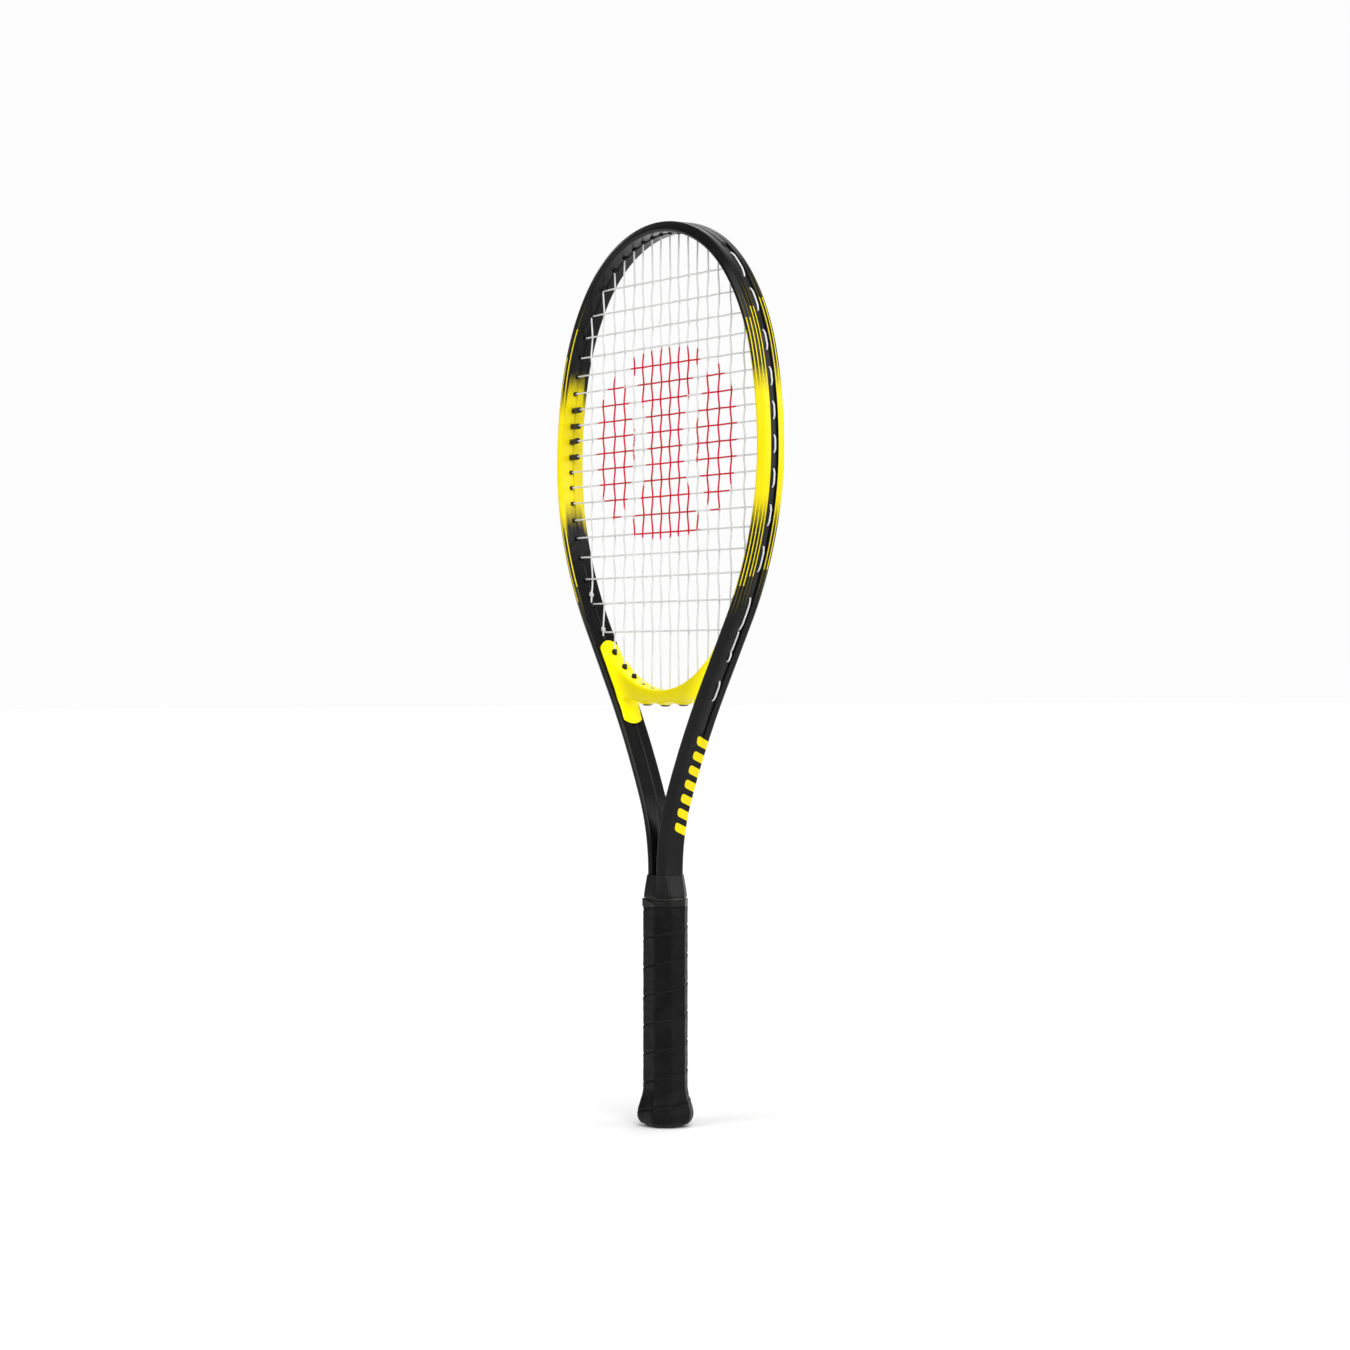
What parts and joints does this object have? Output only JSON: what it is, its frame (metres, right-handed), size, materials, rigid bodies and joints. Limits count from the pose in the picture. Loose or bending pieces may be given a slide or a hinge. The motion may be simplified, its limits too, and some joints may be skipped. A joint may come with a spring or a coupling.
{
  "type": "tennis racket",
  "caption": "Oversize tennis racket: bent metal tube frame with moulded throat bridge, woven string bed, octagonal wrapped handle and sliding rubber collar.",
  "frame": {"origin": "middle of the flat end of the butt", "axes": "+Z from the butt to the tip of the head, X across the head, Y through the string plane with the front at -Y"},
  "size_m": [0.2908, 0.0394, 0.6985],
  "materials": {
    "frame_paint": "gloss black with yellow fades and pinstripes",
    "bridge_plastic": "semi gloss yellow",
    "grommet_plastic": "matte black",
    "string_white": "glossy nylon",
    "pallet_plastic": "moulded foam",
    "staple_steel": "bright wire",
    "grip_leather": "grained black",
    "tape_plastic": "black tape",
    "black_rubber": "soft black"
  },
  "bodies": {
    "racket": {"frame_tube": "frame_paint", "throat_bridge": "bridge_plastic", "bridge_grommets": "grommet_plastic", "grommet_strip_head": "grommet_plastic", "grommet_strip_left": "grommet_plastic", "grommet_strip_right": "grommet_plastic", "main_string": "string_white", "cross_string": "string_white", "string_knots": "string_white", "handle_pallet_front": "pallet_plastic", "handle_pallet_rear": "pallet_plastic", "butt_cap": "grommet_plastic", "butt_cap_plug": "grommet_plastic", "butt_cap_staples": "staple_steel", "grip_staple": "staple_steel", "grip_wrap": "grip_leather", "finishing_tape": "tape_plastic", "shock_sleeve_left_1": "black_rubber", "shock_sleeve_left_2": "black_rubber", "shock_sleeve_left_3": "black_rubber", "shock_sleeve_left_4": "black_rubber", "shock_sleeve_right_1": "black_rubber", "shock_sleeve_right_2": "black_rubber", "shock_sleeve_right_3": "black_rubber", "shock_sleeve_right_4": "black_rubber"},
    "collar": {"rubber_collar": "black_rubber"}
  },
  "joints": [
    {"name": "collar_slide", "type": "slide", "parent": "racket", "child": "collar", "axis": [0, 0, 1], "range_m": [0, 0.008]}
  ]
}
